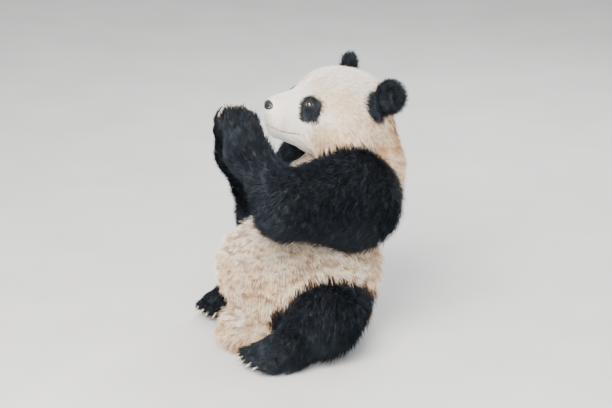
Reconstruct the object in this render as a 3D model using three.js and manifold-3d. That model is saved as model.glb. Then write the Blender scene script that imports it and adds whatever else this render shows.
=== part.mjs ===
// A giant panda sitting on the ground and feeding, life-size, as one still body of flesh and fur.
// Millimetres. +X is the animal's left, -Y the way it faces, +Z up. The origin is on the floor, under its seat.
// The body is one blended form, out to the tips of the coat. Thin flat cuts part it where its parts are named.

import * as THREE from 'three';
import { mergeVertices } from 'three/addons/utils/BufferGeometryUtils.js';
import Module from 'manifold-3d';

const wasm = await Module();
wasm.setup();
const { Manifold, Mesh } = wasm;

const at = (x, y, z) => new THREE.Vector3(x, y, z);
const degrees = THREE.MathUtils.degToRad;

// ---------------------------------------------------------------- driving dimensions

const cutGap = 0.4; // width of the cuts that part the body
const shortest = 0.02; // edges shorter than this are closed up
const halfWorld = 1500; // half the side of a block that stands for one side of a cut

// Trunk: eggs on a spine that leans back as it rises.
const seat = { centre: at(0, -4, 138), radii: at(242, 202, 180) };
const belly = { centre: at(0, -14, 218), radii: at(246, 268, 178) };
const groin = { centre: at(80, -168, 36), radii: at(160, 134, 86) };
const ribs = { centre: at(0, 118, 440), radii: at(198, 178, 172) };
const withers = { centre: at(0, 182, 520), radii: at(165, 122, 130) };
const trunkBlend = 80;

// Neck: from between the shoulders to the back of the skull.
const neckRoot = { centre: at(0, 186, 560), radius: 124 };
const neckTop = { centre: at(8, 160, 690), radius: 122 };
const neckBlend = 70;

// Head: its own frame has +X to its left, -Y along the snout and +Z to the crown.
const headCentre = at(12, 87, 725);
const headYaw = degrees(11.6); // looks a little to its left
const headPitch = degrees(-16.4); // snout lifted
const headRoll = degrees(4.7); // left ear lower
const cranium = { centre: at(0, 18, 8), radii: at(148, 142, 121) };
const cheek = { centre: at(82, 0, -50), radii: at(86, 104, 90) };
const snout = { root: at(0, -88, -36), rootRadius: 76, tip: at(0, -168, -48), tipRadius: 51 };
const bridge = { root: at(0, -104, 2), rootRadius: 44, tip: at(0, -186, -24), tipRadius: 30 };
const chin = { root: at(0, -72, -80), rootRadius: 58, tip: at(0, -160, -92), tipRadius: 29 };
const headBlend = 38;
const eye = { centre: at(56, -111, 13), radius: 14 };
const nose = { centre: at(0, -212, -26), radii: at(27, 17, 19) };
const ear = { centre: at(142, 100, 100), radii: at(54, 31, 56), yaw: degrees(30), roll: degrees(24) };
const earCup = { centre: at(4, -46, 6), radii: at(38, 30, 40) };

// Limbs: the joints' places, and the thickness of the furred limb at each.
// With the arms raised, the top of each shoulder blade makes a crest beside the neck.
// A paw is a palm with five digits in a row across it: halfRow reaches from its middle to the row's end.
const leftArm = {
  root: at(168, 112, 472), bend: at(270, -128, 510), wrist: at(164, -222, 656), palm: at(140, -230, 716),
  halfRow: at(36, 26, 0), aim: at(-0.25, 0.08, 1), sole: at(-0.6, 0.8, 0), crest: at(186, 92, 548),
};
const rightArm = {
  root: at(-168, 112, 466), bend: at(-200, -62, 322), wrist: at(-78, -192, 580), palm: at(-44, -228, 672),
  halfRow: at(-36, 26, 0), aim: at(0.1, -0.28, 1), sole: at(0.6, 0.8, 0.1), crest: at(-176, 100, 530),
};
const leftLeg = {
  root: at(112, 52, 132), bend: at(250, -8, 126), wrist: at(308, -138, 62), palm: at(298, -202, 42),
  halfRow: at(54, 14, -2), aim: at(-0.16, -1, -0.06), sole: at(0, 0, -1),
};
const rightLeg = {
  root: at(-112, 52, 132), bend: at(-262, -20, 124), wrist: at(-226, -150, 60), palm: at(-168, -228, 42),
  halfRow: at(-45, -31, 0), aim: at(0.57, -0.82, -0.06), sole: at(0, 0, -1),
};
const armRadii = { crest: 100, root: 146, bend: 94, middle: 86, wrist: 60, palm: 38, digit: 20 };
const legRadii = { root: 132, bend: 120, middle: 94, wrist: 60, palm: 41, digit: 20 };
const limbBlend = 46;
const digitBlend = 10;
const digitLength = 46;
const rootBlend = 40; // where a limb leaves the trunk
const seamOut = 10; // how far outside a limb the cut round it runs
const pawRoom = at(24, 66, 20); // and how far outside its paw, along the row, the digits and the palm

const tail = { root: at(0, 164, 74), tip: at(0, 200, 36), rootRadius: 38, tipRadius: 29 };
const claw = { length: 30, radius: 6.5, sunk: 14, droop: 8, sides: 5 };

// ---------------------------------------------------------------- fields: distances, negative inside

// An egg with half-axes radii.
const egg = (centre, radii) => (p) => {
  const x = p.x - centre.x, y = p.y - centre.y, z = p.z - centre.z;
  const near = Math.hypot(x / radii.x, y / radii.y, z / radii.z);
  const slope = Math.hypot(x / radii.x ** 2, y / radii.y ** 2, z / radii.z ** 2);
  return slope < 1e-9 ? -Math.min(radii.x, radii.y, radii.z) : (near * (near - 1)) / slope;
};

// A straight length of limb from a to b, round at both ends.
const taper = (a, b, radiusA, radiusB) => {
  const way = b.clone().sub(a);
  const length2 = way.lengthSq();
  return (p) => {
    const t = ((p.x - a.x) * way.x + (p.y - a.y) * way.y + (p.z - a.z) * way.z) / length2;
    const s = Math.min(1, Math.max(0, t));
    const off = Math.hypot(p.x - a.x - s * way.x, p.y - a.y - s * way.y, p.z - a.z - s * way.z);
    return off - radiusA - s * (radiusB - radiusA);
  };
};

// Forms joined with a fillet of about this width.
const joined = (width, ...fields) => (p) => fields.map((field) => field(p)).reduce((a, b) => {
  const h = Math.max(width - Math.abs(a - b), 0) / width;
  return Math.min(a, b) - (h * h * width) / 4;
});

// A form given in a frame of its own, placed in the body's frame.
const placed = (frame, field) => {
  const inverse = frame.clone().invert();
  const local = new THREE.Vector3();
  return (p) => field(local.copy(p).applyMatrix4(inverse));
};

const frameOf = (centre, x, y, z, order) => new THREE.Matrix4()
  .makeRotationFromEuler(new THREE.Euler(x, y, z, order)).setPosition(centre);
const mirrored = (p) => at(-p.x, p.y, p.z);

// ---------------------------------------------------------------- the body's forms

const headFrame = frameOf(headCentre, headPitch, headRoll, headYaw, 'ZXY');
const inHead = (p) => p.clone().applyMatrix4(headFrame);

const trunkEggs = [seat, belly, groin, ribs, withers].map((e) => egg(e.centre, e.radii));
const trunkField = joined(trunkBlend, ...trunkEggs);
const neckField = taper(neckRoot.centre, neckTop.centre, neckRoot.radius, neckTop.radius);
const ball = (centre, radius) => egg(centre, at(radius, radius, radius));
const torsoField = joined(rootBlend, joined(neckBlend, trunkField, neckField),
  ball(leftArm.root, armRadii.root), ball(rightArm.root, armRadii.root),
  ball(leftArm.crest, armRadii.crest), ball(rightArm.crest, armRadii.crest),
  ball(leftLeg.root, legRadii.root), ball(rightLeg.root, legRadii.root));

const skullField = placed(headFrame, joined(headBlend,
  egg(cranium.centre, cranium.radii),
  egg(cheek.centre, cheek.radii),
  egg(mirrored(cheek.centre), cheek.radii),
  taper(snout.root, snout.tip, snout.rootRadius, snout.tipRadius),
  taper(bridge.root, bridge.tip, bridge.rootRadius, bridge.tipRadius),
  taper(chin.root, chin.tip, chin.rootRadius, chin.tipRadius)));

// An ear is a round leaf with a hollow in front.
const earFrame = (side) => headFrame.clone().multiply(
  frameOf(at(side * ear.centre.x, ear.centre.y, ear.centre.z), 0, side * ear.roll, side * ear.yaw, 'ZYX'));
const earField = (side) => {
  const leaf = egg(at(0, 0, 0), ear.radii);
  const hollow = egg(earCup.centre, earCup.radii);
  return placed(earFrame(side), (p) => Math.max(leaf(p), -hollow(p)));
};

// The digits of a paw: the middle ones reach furthest.
const digits = (limb) => [-1, -0.5, 0, 0.5, 1].map((share) => {
  const aim = limb.aim.clone().normalize();
  const root = limb.palm.clone().addScaledVector(limb.halfRow, share);
  const reach = digitLength * (1.15 - 0.25 * Math.abs(share));
  return { root, aim, tip: root.clone().addScaledVector(aim, reach) };
});

const limbShafts = (limb, radii) => [
  taper(limb.root, limb.bend, radii.root, radii.bend), taper(limb.bend, limb.wrist, radii.middle, radii.wrist),
  ...(limb.crest ? [taper(limb.crest, limb.bend, radii.crest, radii.middle)] : [])];
const limbField = (limb, radii) => joined(limbBlend,
  ...limbShafts(limb, radii),
  joined(digitBlend,
    ...[-0.6, 0.6].map((share) => taper(
      limb.wrist, limb.palm.clone().addScaledVector(limb.halfRow, share), radii.wrist, radii.palm)),
    ...digits(limb).map((digit) => taper(digit.root, digit.tip, radii.digit + 4, radii.digit))));

// A limb without its digits, grown to hold them: the cut that parts the limb from the trunk runs here.
const limbRoom = (limb, radii) => {
  const y = limb.aim.clone().normalize();
  const x = limb.halfRow.clone().addScaledVector(y, -limb.halfRow.dot(y)).normalize();
  const frame = new THREE.Matrix4().makeBasis(x, y, x.clone().cross(y)).setPosition(limb.palm);
  const paw = placed(frame, egg(at(0, 16, 0), at(
    limb.halfRow.length() + radii.digit + pawRoom.x, digitLength + pawRoom.y, radii.palm + pawRoom.z)));
  const rest = joined(limbBlend, ...limbShafts(limb, radii));
  return joined(limbBlend, paw, (p) => rest(p) - seamOut);
};

const limbs = {
  left_arm: { ...leftArm, radii: armRadii, names: ['left_upper_arm', 'left_forearm', 'left_hand'] },
  right_arm: { ...rightArm, radii: armRadii, names: ['right_upper_arm', 'right_forearm', 'right_hand'] },
  left_leg: { ...leftLeg, radii: legRadii, names: ['left_thigh', 'left_shin', 'left_foot'] },
  right_leg: { ...rightLeg, radii: legRadii, names: ['right_thigh', 'right_shin', 'right_foot'] },
};
const limbList = Object.entries(limbs);
const torsoAndHead = joined(neckBlend, torsoField, skullField);

// ---------------------------------------------------------------- from a field to a solid

// The field's surface inside a box, as a net with one corner in each cell that the surface crosses.
function surfaceNet(field, box, cell) {
  const count = box.getSize(at(0, 0, 0)).divideScalar(cell).ceil().addScalar(3);
  const eachUpTo = (last, visit) => {
    for (let k = 0; k < count.z - last; k++) for (let j = 0; j < count.y - last; j++) {
      for (let i = 0; i < count.x - last; i++) visit(i, j, k);
    }
  };
  const index = (i, j, k) => (k * count.y + j) * count.x + i;
  const p = at(0, 0, 0);
  const corner = (i, j, k) => p.set(i - 1, j - 1, k - 1).multiplyScalar(cell).add(box.min);
  const value = new Float32Array(count.x * count.y * count.z);
  eachUpTo(0, (i, j, k) => {
    const rim = !i || !j || !k || i === count.x - 1 || j === count.y - 1 || k === count.z - 1;
    value[index(i, j, k)] = rim ? cell : field(corner(i, j, k));
  });

  const places = [];
  const placeOf = new Int32Array(value.length).fill(-1);
  eachUpTo(1, (i, j, k) => {
    const sum = at(0, 0, 0);
    let crossings = 0;
    for (let c = 0; c < 8; c++) for (const axis of [1, 2, 4]) {
      if (c & axis) continue;
      const a = [i + (c & 1), j + ((c >> 1) & 1), k + (c >> 2)];
      const d = c | axis;
      const b = [i + (d & 1), j + ((d >> 1) & 1), k + (d >> 2)];
      const va = value[index(...a)], vb = value[index(...b)];
      if (va < 0 === vb < 0) continue;
      const t = va / (va - vb);
      sum.add(corner(a[0] + t * (b[0] - a[0]), a[1] + t * (b[1] - a[1]), a[2] + t * (b[2] - a[2])));
      crossings++;
    }
    if (!crossings) return;
    placeOf[index(i, j, k)] = places.length;
    places.push(sum.divideScalar(crossings));
  });

  const quads = [];
  const step = [[1, 0, 0], [0, 1, 0], [0, 0, 1]];
  eachUpTo(1, (i, j, k) => {
    const here = value[index(i, j, k)] < 0;
    step.forEach(([x, y, z], axis) => {
      const there = value[index(i + x, j + y, k + z)] < 0;
      if (here === there) return;
      const [u, v] = [step[(axis + 1) % 3], step[(axis + 2) % 3]];
      const cellAt = (a, b) => placeOf[
        index(i - a * u[0] - b * v[0], j - a * u[1] - b * v[1], k - a * u[2] - b * v[2])];
      const ring = [cellAt(1, 1), cellAt(0, 1), cellAt(0, 0), cellAt(1, 0)];
      quads.push(here ? ring : ring.reverse());
    });
  });
  return { places, quads };
}

// Which way a field rises at a point, and how fast.
function slopeOf(field, p, step) {
  const here = field(p);
  const along = (x, y, z) => (field(at(p.x + x, p.y + y, p.z + z)) - here) / step;
  return at(along(step, 0, 0), along(0, step, 0), along(0, 0, step));
}

// Evens out a net and draws it back onto the field's surface.
function relax(net, field, cell, rounds = 4) {
  const near = net.places.map(() => new Set());
  for (const q of net.quads) q.forEach((a, i) => near[a].add(q[(i + 1) % 4]).add(q[(i + 3) % 4]));
  for (let round = 0; round < rounds; round++) {
    const moved = net.places.map((p, i) => {
      const middle = at(0, 0, 0);
      near[i].forEach((j) => middle.add(net.places[j]));
      return p.clone().lerp(middle.divideScalar(near[i].size), 0.5);
    });
    net.places = moved.map((p) => {
      const slope = slopeOf(field, p, cell * 0.05);
      const drop = THREE.MathUtils.clamp(field(p), -cell, cell) / Math.max(slope.lengthSq(), 0.25);
      return p.addScaledVector(slope, -drop);
    });
  }
  return net;
}

const solidFrom = (positions, triangles) => new Manifold(new Mesh({
  numProp: 3, vertProperties: new Float32Array(positions), triVerts: new Uint32Array(triangles) }));

// A relaxed net as a solid, its corners pushed out along the field's slope by grown.
function solidOfNet(net, field, grown = 0) {
  const triangles = net.quads.flatMap(([a, b, c, d]) => (
    net.places[a].distanceToSquared(net.places[c]) < net.places[b].distanceToSquared(net.places[d])
      ? [a, b, c, a, c, d] : [a, b, d, b, c, d]));
  const corners = net.places.flatMap((p) => {
    const out = slopeOf(field, p, 1).normalize();
    return p.clone().addScaledVector(out, grown).toArray();
  });
  return solidFrom(corners, triangles);
}

// How far inside a box a point is, negative outside.
const roomIn = (box, p) => Math.min(
  p.x - box.min.x, p.y - box.min.y, p.z - box.min.z, box.max.x - p.x, box.max.y - p.y, box.max.z - p.z);

// Whether two folds of a net share an edge, as they can where a gap is narrower than a cell.
function touchesItself(net) {
  const uses = new Map();
  for (const ring of net.quads) ring.forEach((a, i) => {
    const b = ring[(i + 1) % 4];
    const edge = Math.min(a, b) * net.places.length + Math.max(a, b);
    uses.set(edge, (uses.get(edge) ?? 0) + 1);
  });
  return [...uses.values()].some((count) => count > 2);
}

function netIn(field, box, cell) {
  const net = surfaceNet(field, box, cell);
  return touchesItself(net) ? netIn(field, box, cell * 0.93) : relax(net, field, cell);
}

// The part of a field that lies in a region, with faces about one cell across.
function flesh(field, region, cell) {
  const bounds = region.boundingBox();
  const box = new THREE.Box3(at(...bounds.min), at(...bounds.max)).expandByScalar(cell * 1.5);
  box.min.z = Math.max(box.min.z, -2 * cell);
  const kept = (p) => Math.max(field(p), -roomIn(box, p));
  return solidOfNet(netIn(kept, box, cell), kept).intersect(region);
}

// A three.js geometry, placed by a matrix, as a solid.
function solidOf(geometry, frame) {
  const bare = geometry.clone().applyMatrix4(frame).deleteAttribute('normal').deleteAttribute('uv');
  const merged = mergeVertices(bare, 1e-3);
  return solidFrom(merged.attributes.position.array, merged.index.array);
}

// A solid as a geometry, with edges too short to matter closed up.
function geometryOf(solid) {
  const mesh = solid.getMesh();
  const raw = new THREE.BufferGeometry()
    .setAttribute('position', new THREE.BufferAttribute(mesh.vertProperties, 3))
    .setIndex(new THREE.BufferAttribute(mesh.triVerts, 1));
  const merged = mergeVertices(raw, shortest);
  const corners = Array.from(merged.index.array);
  const kept = corners.filter((_, i) => {
    const [a, b, c] = corners.slice(i - (i % 3), i - (i % 3) + 3);
    return a !== b && b !== c && c !== a;
  });
  return merged.setIndex(kept);
}

const largestPiece = (solid) => solid.decompose().sort((a, b) => b.volume() - a.volume())[0];

// ---------------------------------------------------------------- cuts

const upright = at(0, 0, 1);

// Everything on the side of a plane that its normal points to, kept back from it.
function sideOf(plane, keptBack = cutGap / 2) {
  const turn = new THREE.Quaternion().setFromUnitVectors(upright, plane.normal.clone().normalize());
  const centre = plane.point.clone().add(at(0, 0, halfWorld + keptBack).applyQuaternion(turn));
  const block = new THREE.BoxGeometry(2 * halfWorld, 2 * halfWorld, 2 * halfWorld);
  return solidOf(block, new THREE.Matrix4().compose(centre, turn, at(1, 1, 1)));
}
const behind = (plane) => ({ point: plane.point, normal: plane.normal.clone().negate() });

// The plane that halves the bend at b between a and c, facing c.
const bendPlane = (a, b, c) => ({
  point: b, normal: b.clone().sub(a).normalize().add(c.clone().sub(b).normalize()) });

const floor = { point: at(0, 0, 0), normal: upright };
const headPlane = { point: at(4, 120, 628), normal: at(0.04, -0.36, 0.93) };
const neckPlane = { point: at(0, 180, 536), normal: at(0, 0.1, 1) };
const chestPlane = { point: at(0, 290, 345), normal: at(0, 0.25, 1) };

// ---------------------------------------------------------------- the parts

const black = { color: 0x17181b, roughness: 0.95 };
const cream = { color: 0xd9cbb4, roughness: 0.95 };
const leather = { color: 0x141416, roughness: 0.45 };
const horn = { color: 0x4b453d, roughness: 0.5 };
const eyeball = { color: 0x120d0a, roughness: 0.08 };

const panda = new THREE.Group();
function addPart(name, solid, finish) {
  const mesh = new THREE.Mesh(geometryOf(solid), new THREE.MeshStandardMaterial({ metalness: 0, ...finish }));
  mesh.name = name;
  panda.add(mesh);
}

// Faces are finest where the form is smallest.
const cells = { trunk: 74, neck: 74, head: 40, limb: 56, paw: 27, ear: 23, nose: 16, tail: 34, seam: 58 };
const worldBox = new THREE.Box3(at(-520, -420, -120), at(520, 420, 980));
const aboveFloor = sideOf(floor, 0);

// A form of its own, and the same form grown by the cut, to make room for it in its neighbour.
function ownForm(field, box, cell) {
  const net = netIn(field, box, cell);
  return { solid: solidOfNet(net, field), room: solidOfNet(net, field, cutGap) };
}
const boxRound = (centre, half) => (
  new THREE.Box3().setFromCenterAndSize(centre, at(2 * half, 2 * half, 2 * half)));

// A claw: a cone that droops towards the sole, its base sunk in the end of its digit.
function clawSolid(limb, digit, radius, grown) {
  const cone = new THREE.ConeGeometry(claw.radius + grown, claw.length + 2 * grown, claw.sides, 2);
  const place = cone.attributes.position;
  for (let i = 0; i < place.count; i++) {
    const along = place.getY(i) / claw.length + 0.5;
    place.setZ(i, place.getZ(i) + claw.droop * along * along);
  }
  const y = digit.aim.clone().addScaledVector(limb.sole, 0.2).normalize();
  const x = y.clone().cross(limb.sole).normalize();
  const z = x.clone().cross(y);
  const middle = digit.tip.clone().addScaledVector(y, radius - claw.sunk + claw.length / 2);
  return solidOf(cone, new THREE.Matrix4().makeBasis(x, y, z).setPosition(middle));
}

let unclaimed = aboveFloor; // what the parts made so far have left
for (const [, limb] of limbList) {
  const { radii, names } = limb;
  const { solid, room } = ownForm(limbRoom(limb, radii), worldBox, cells.seam);
  const rootPlane = { point: limb.root, normal: limb.bend.clone().sub(limb.root) };
  const bend = bendPlane(limb.root, limb.bend, limb.wrist);
  const wrist = bendPlane(limb.bend, limb.wrist, limb.palm);
  const whole = solid.intersect(unclaimed);
  const own = limbField(limb, radii);
  addPart(names[0], largestPiece(flesh(joined(rootBlend, torsoAndHead, own),
    whole.intersect(sideOf(rootPlane)).intersect(sideOf(behind(bend))), cells.limb)), black);
  addPart(names[1], largestPiece(flesh(
    own, whole.intersect(sideOf(bend)).intersect(sideOf(behind(wrist))), cells.limb)), black);
  let paw = largestPiece(flesh(own, whole.intersect(sideOf(wrist)), cells.paw));
  digits(limb).forEach((digit, i) => {
    addPart(names[2] + '_claw_' + (i + 1), clawSolid(limb, digit, radii.digit, 0), horn);
    paw = paw.subtract(clawSolid(limb, digit, radii.digit, cutGap));
  });
  addPart(names[2], largestPiece(paw), black);
  unclaimed = unclaimed.subtract(room.intersect(sideOf(rootPlane, -cutGap / 2)));
}
let headRest = unclaimed.intersect(sideOf(headPlane));

for (const [name, side] of [['left', 1], ['right', -1]]) {
  const earRoot = inHead(at(side * ear.centre.x, ear.centre.y, ear.centre.z));
  const earPart = ownForm(earField(side), boxRound(earRoot, 80), cells.ear);
  addPart(name + '_ear', earPart.solid, black);
  headRest = headRest.subtract(earPart.room);
  const eyeFrame = frameOf(inHead(at(side * eye.centre.x, eye.centre.y, eye.centre.z)), 0, 0, 0, 'XYZ');
  addPart(name + '_eye', solidOf(new THREE.SphereGeometry(eye.radius, 9, 6), eyeFrame), eyeball);
  headRest = headRest.subtract(solidOf(new THREE.SphereGeometry(eye.radius + 2 * cutGap, 9, 6), eyeFrame));
}
const nosePart = ownForm(
  placed(headFrame, egg(nose.centre, nose.radii)), boxRound(inHead(nose.centre), 40), cells.nose);
addPart('nose', nosePart.solid, leather);
headRest = headRest.subtract(nosePart.room);

const tailPart = ownForm(
  taper(tail.root, tail.tip, tail.rootRadius, tail.tipRadius), boxRound(tail.tip, 120), cells.tail);
addPart('tail', tailPart.solid.intersect(aboveFloor), cream);
const trunkRest = unclaimed.subtract(tailPart.room).intersect(sideOf(behind(headPlane)));

const blockRound = (centre, x, y, z) => (
  solidOf(new THREE.BoxGeometry(x, y, z), frameOf(centre, 0, 0, 0, 'XYZ')));
function addTorsoPart(name, region, cell, finish) {
  addPart(name, largestPiece(flesh(torsoAndHead, region, cell)), finish);
}
addTorsoPart('head', headRest.intersect(blockRound(headCentre, 440, 520, 440)), cells.head, cream);
addTorsoPart('neck', trunkRest.intersect(sideOf(neckPlane))
  .intersect(blockRound(neckTop.centre, 800, 600, 400)), cells.neck, cream);
addTorsoPart('chest', trunkRest.intersect(sideOf(behind(neckPlane))).intersect(sideOf(chestPlane))
  .intersect(blockRound(ribs.centre, 900, 700, 400)), cells.trunk, black);
addTorsoPart('trunk', trunkRest.intersect(sideOf(behind(chestPlane)))
  .intersect(blockRound(belly.centre, 800, 800, 600)), cells.trunk, cream);

export default panda;
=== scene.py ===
# %% [markdown]
# # A giant panda, life-size
#
# A still model of a sitting animal, such as a museum shows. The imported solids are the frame: they give the
# outline out to the tips of the coat. Here the flesh becomes one skin that lies under the coat, and the coat
# itself becomes about a hundred thousand small tufts that lie along the body. Eyes, nose and claws are separate.
# Places are written in millimetres and turned into Blender's metres at once. Single widths are in metres.

import math

import bmesh
import bpy
import numpy as np
from mathutils import Matrix, Vector


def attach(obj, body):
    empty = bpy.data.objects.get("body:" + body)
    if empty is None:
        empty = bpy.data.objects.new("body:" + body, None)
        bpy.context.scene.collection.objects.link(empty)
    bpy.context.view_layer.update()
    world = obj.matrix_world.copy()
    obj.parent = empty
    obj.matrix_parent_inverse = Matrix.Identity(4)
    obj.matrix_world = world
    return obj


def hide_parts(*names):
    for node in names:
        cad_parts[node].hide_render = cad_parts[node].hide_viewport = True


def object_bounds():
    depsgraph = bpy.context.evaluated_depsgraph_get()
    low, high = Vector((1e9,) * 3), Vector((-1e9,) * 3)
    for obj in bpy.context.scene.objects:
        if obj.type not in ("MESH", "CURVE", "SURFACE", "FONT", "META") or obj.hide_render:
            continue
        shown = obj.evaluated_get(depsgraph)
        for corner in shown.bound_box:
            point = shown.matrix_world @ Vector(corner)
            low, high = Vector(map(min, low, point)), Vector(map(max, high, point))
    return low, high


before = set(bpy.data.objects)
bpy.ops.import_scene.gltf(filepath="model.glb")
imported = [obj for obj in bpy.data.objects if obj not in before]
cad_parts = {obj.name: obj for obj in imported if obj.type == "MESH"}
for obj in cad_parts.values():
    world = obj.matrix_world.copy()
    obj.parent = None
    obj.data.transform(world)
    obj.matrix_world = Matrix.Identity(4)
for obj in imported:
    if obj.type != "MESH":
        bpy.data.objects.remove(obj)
cad_box = [list(corner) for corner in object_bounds()]
print("frame:", len(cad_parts), "nodes, height", round(cad_box[1][2], 3), "m")

# %% [markdown]
# ## Forms as distances
#
# A soft body has no edges to model from. One way is to sculpt it by hand, another is metaballs. Here each mass
# of the body is a function that tells how far a point is from it, negative inside. Such forms join with a
# fillet of any width, a skin can be laid any depth under them, and all their sizes stay named.

# %% Fields
def mm(*lengths):
    return np.array(lengths) / 1000.0


def egg(centre, radii):
    """An egg with three half-axes."""
    def distance(p):
        q = (p - centre) / radii
        near = np.sqrt((q * q).sum(1))
        slope = np.sqrt(((q / radii) ** 2).sum(1)) + 1e-9
        return near * (near - 1) / slope
    return distance


def ball(centre, radius):
    return lambda p: np.sqrt(((p - centre) ** 2).sum(1)) - radius


def taper(a, b, radius_a, radius_b):
    """A straight form from a to b, round at both ends."""
    way = b - a
    def distance(p):
        s = np.clip((p - a) @ way / (way @ way), 0, 1)
        off = p - a - s[:, None] * way
        return np.sqrt((off * off).sum(1)) - radius_a - s * (radius_b - radius_a)
    return distance


def blend(near, other, width):
    """Two distances joined with a fillet of about this width."""
    h = np.maximum(width - np.abs(near - other), 0) / width
    return np.minimum(near, other) - h * h * width / 4


def joined(width, *fields):
    def distance(p):
        found = fields[0](p)
        for field in fields[1:]:
            found = blend(found, field(p), width)
        return found
    return distance


def placed(place, field):
    """A form given in a frame of its own, placed in the body's frame."""
    turn, origin = np.array(place)[:3, :3], np.array(place)[:3, 3]
    return lambda p: field((p - origin) @ turn)


def unit(v):
    return v / np.maximum(np.sqrt((v * v).sum(-1, keepdims=True)), 1e-9)


def mirror(point, side=-1):
    """The mirror image of a point on the left, or the point itself where side is 1."""
    return point * np.array([side, 1, 1])


# %% [markdown]
# ## The animal's build
#
# +X is its left, -Y the way it faces, +Z up. It sits on its rump with its hind legs forward, and holds both
# forepaws in front of its muzzle. These are the same masses that the solids are made of.

# %% Trunk and neck
trunk_fillet = 0.080
trunk_eggs = [
    egg(mm(0, -4, 138), mm(242, 202, 180)),  # seat
    egg(mm(0, -14, 218), mm(246, 268, 178)),  # belly
    egg(mm(80, -168, 36), mm(160, 134, 86)),  # groin
    egg(mm(0, 118, 440), mm(198, 178, 172)),  # ribs
    egg(mm(0, 182, 520), mm(165, 122, 130)),  # withers
]
trunk_field = joined(trunk_fillet, *trunk_eggs)
neck_field = taper(mm(0, 186, 560), mm(8, 160, 690), 0.124, 0.122)
print("trunk:", len(trunk_eggs), "eggs")

# %% Head, in its own frame: +X to its left, -Y along the snout, +Z to the crown
head_fillet = 0.038
head_yaw, head_pitch, head_roll = math.radians(11.6), math.radians(-16.4), math.radians(4.7)
head_place = (Matrix.Translation(mm(12, 87, 725)) @ Matrix.Rotation(head_yaw, 4, "Z")
              @ Matrix.Rotation(head_pitch, 4, "X") @ Matrix.Rotation(head_roll, 4, "Y"))
head_turn, head_centre = np.array(head_place)[:3, :3], np.array(head_place)[:3, 3]
cheek_at, cheek_radii = mm(82, 0, -50), mm(86, 104, 90)
cranium = egg(mm(0, 18, 8), mm(148, 142, 121))
cheeks = joined(head_fillet, egg(cheek_at, cheek_radii), egg(mirror(cheek_at), cheek_radii))
muzzle = joined(
    head_fillet,
    taper(mm(0, -88, -36), mm(0, -168, -48), 0.076, 0.051),  # snout
    taper(mm(0, -104, 2), mm(0, -186, -24), 0.044, 0.030),  # bridge
    taper(mm(0, -72, -80), mm(0, -160, -92), 0.058, 0.029),  # chin
)
skull = joined(head_fillet, cranium, cheeks, muzzle)
skull_field = placed(head_place, skull)


def in_head(p):
    """Points of the head's own frame, in the body's."""
    return p @ head_turn.T + head_centre


def to_head(p):
    """Points of the body's frame, in the head's own."""
    return (p - head_centre) @ head_turn


print("head: centre at", head_centre.round(3))


# %% Ears: round leaves with a hollow in front
ear_at, ear_radii = mm(142, 100, 100), mm(54, 31, 56)
ear_cup_at, ear_cup_radii = mm(4, -46, 6), mm(38, 30, 40)
ear_turn, ear_lean = math.radians(30), math.radians(24)


def ear_place(side):
    return (head_place @ Matrix.Translation(mirror(ear_at, side))
            @ Matrix.Rotation(side * ear_turn, 4, "Z") @ Matrix.Rotation(side * ear_lean, 4, "Y"))


def ear_field(side):
    leaf, hollow = egg(mm(0, 0, 0), ear_radii), egg(ear_cup_at, ear_cup_radii)
    return placed(ear_place(side), lambda p: np.maximum(leaf(p), -hollow(p)))


print("ears:", round(2000 * ear_radii[2]), "mm high")

# %% Limbs: the places of their joints, and the furred limb's thickness at each
limb_fillet, paw_fillet, digit_length = 0.046, 0.010, 0.046
limb_parts = dict(arm=("upper_arm", "forearm", "hand"), leg=("thigh", "shin", "foot"))
limb_radii = dict(
    arm=dict(crest=0.100, root=0.146, bend=0.094, middle=0.086, wrist=0.060, palm=0.038, digit=0.020),
    leg=dict(root=0.132, bend=0.120, middle=0.094, wrist=0.060, palm=0.041, digit=0.020),
)
down = np.array([0.0, 0.0, -1.0])
limbs = dict(
    left_arm=dict(
        root=mm(168, 112, 472), bend=mm(270, -128, 510), wrist=mm(164, -222, 656), palm=mm(140, -230, 716),
        half_row=mm(36, 26, 0), aim=unit(np.array([-0.25, 0.08, 1])), sole=unit(np.array([-0.6, 0.8, 0])),
        crest=mm(186, 92, 548)),
    right_arm=dict(
        root=mm(-168, 112, 466), bend=mm(-200, -62, 322), wrist=mm(-78, -192, 580), palm=mm(-44, -228, 672),
        half_row=mm(-36, 26, 0), aim=unit(np.array([0.1, -0.28, 1])), sole=unit(np.array([0.6, 0.8, 0.1])),
        crest=mm(-176, 100, 530)),
    left_leg=dict(
        root=mm(112, 52, 132), bend=mm(250, -8, 126), wrist=mm(308, -138, 62), palm=mm(298, -202, 42),
        half_row=mm(54, 14, -2), aim=unit(np.array([-0.16, -1, -0.06])), sole=down),
    right_leg=dict(
        root=mm(-112, 52, 132), bend=mm(-262, -20, 124), wrist=mm(-226, -150, 60), palm=mm(-168, -228, 42),
        half_row=mm(-45, -31, 0), aim=unit(np.array([0.57, -0.82, -0.06])), sole=down),
)
for limb_name, limb in limbs.items():
    side_name, kind_name = limb_name.split("_")
    limb["parts"] = [side_name + "_" + part for part in limb_parts[kind_name]]
    limb["radii"] = limb_radii[kind_name]


def digits(limb):
    """The digits' roots and tips, along the row that the palm ends in: the middle ones reach furthest."""
    for share in (-1, -0.5, 0, 0.5, 1):
        root = limb["palm"] + limb["half_row"] * share
        yield root, root + limb["aim"] * digit_length * (1.15 - 0.25 * abs(share))


def upper_field(limb):
    """The limb down to its bend. A raised shoulder blade makes a crest beside the neck."""
    radii = limb["radii"]
    shaft = taper(limb["root"], limb["bend"], radii["root"], radii["bend"])
    if "crest" not in limb:
        return shaft
    return joined(limb_fillet, shaft, taper(limb["crest"], limb["bend"], radii["crest"], radii["middle"]))


def lower_field(limb):
    return taper(limb["bend"], limb["wrist"], limb["radii"]["middle"], limb["radii"]["wrist"])


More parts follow.
